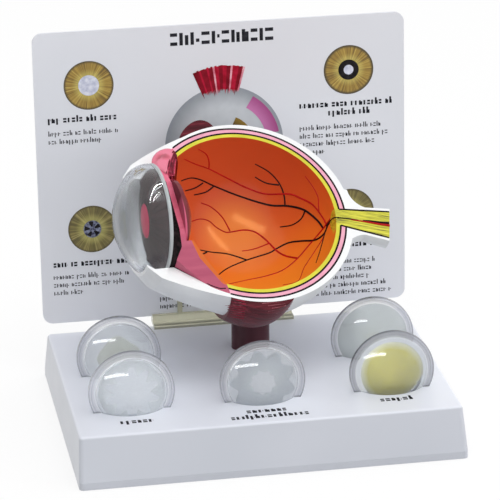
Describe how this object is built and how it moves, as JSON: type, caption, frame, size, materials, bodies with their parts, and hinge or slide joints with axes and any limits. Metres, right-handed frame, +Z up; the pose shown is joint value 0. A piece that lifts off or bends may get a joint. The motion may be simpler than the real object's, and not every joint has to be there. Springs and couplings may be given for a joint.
{
  "type": "eye anatomy model",
  "caption": "Cut-open eyeball with a clear cornea and removable lens on a post over a hollow base, with clear display lenses standing in slots and a printed card in a channel behind.",
  "frame": {"origin": "bottom centre of the overall size, on the surface that the base stands on", "axes": "+Z up, +X towards the optic nerve (right, seen from the front), -Y towards the front of the base"},
  "size_m": [0.165, 0.1306, 0.1584],
  "materials": {
    "base_white": "satin moulded, white",
    "card_white": "printed sheet, satin",
    "clear_plastic": "clear, polished",
    "holder_clear": "clear, slightly yellow",
    "sclera_white": "painted cast resin, satin",
    "choroid_pink": "painted cast resin, satin",
    "retina_orange": "painted cast resin, glossy varnish",
    "nerve_yellow": "painted cast resin, satin",
    "muscle_red": "painted cast resin, streaked",
    "post_maroon": "painted cast resin, satin",
    "ciliary_pink": "painted cast resin, satin",
    "iris_brown": "painted, ribbed",
    "chamber_black": "painted, satin",
    "lens_purple": "tinted clear, polished",
    "screw_steel": "zinc plated",
    "cloud_white": "frosted white",
    "cloud_grey": "frosted grey",
    "core_yellow": "cloudy yellow"
  },
  "bodies": {
    "stand": {"base_shell": "base_white", "stand_post": "post_maroon", "post_screw": "screw_steel", "card_holder": "holder_clear", "sclera_shell": "sclera_white", "choroid_layer": "choroid_pink", "retina_cup": "retina_orange", "optic_nerve": "nerve_yellow", "cornea": "clear_plastic", "iris": "iris_brown", "chamber_block": "chamber_black", "ciliary_body": "ciliary_pink", "upper_muscle": "muscle_red", "lower_muscle": "muscle_red"},
    "card": {"card_panel": "card_white"},
    "eye_lens": {"eye_lens": "lens_purple"},
    "cortical_display": {"cortical_lens": "clear_plastic", "cortical_spokes": "cloud_white"},
    "capsular_display": {"capsular_lens": "clear_plastic", "capsular_film": "cloud_grey"},
    "nuclear_display": {"nuclear_lens": "clear_plastic", "nuclear_core": "core_yellow"},
    "subcapsular_display": {"subcapsular_lens": "clear_plastic", "subcapsular_patch": "cloud_grey"},
    "mature_display": {"mature_lens": "clear_plastic", "mature_core": "cloud_white"}
  },
  "joints": [
    {"name": "card_lift", "type": "slide", "parent": "stand", "child": "card", "axis": [0, 0.0436, 0.999], "range_m": [0, 0.015]},
    {"name": "eye_lens_lift", "type": "slide", "parent": "stand", "child": "eye_lens", "axis": [0.1303, -0.5875, 0.7986], "range_m": [0, 0.028]},
    {"name": "cortical_lift", "type": "slide", "parent": "stand", "child": "cortical_display", "axis": [0, 0, 1], "range_m": [0, 0.012]},
    {"name": "capsular_lift", "type": "slide", "parent": "stand", "child": "capsular_display", "axis": [0, 0, 1], "range_m": [0, 0.012]},
    {"name": "nuclear_lift", "type": "slide", "parent": "stand", "child": "nuclear_display", "axis": [0, 0, 1], "range_m": [0, 0.012]},
    {"name": "subcapsular_lift", "type": "slide", "parent": "stand", "child": "subcapsular_display", "axis": [0, 0, 1], "range_m": [0, 0.012]},
    {"name": "mature_lift", "type": "slide", "parent": "stand", "child": "mature_display", "axis": [0, 0, 1], "range_m": [0, 0.012]}
  ]
}
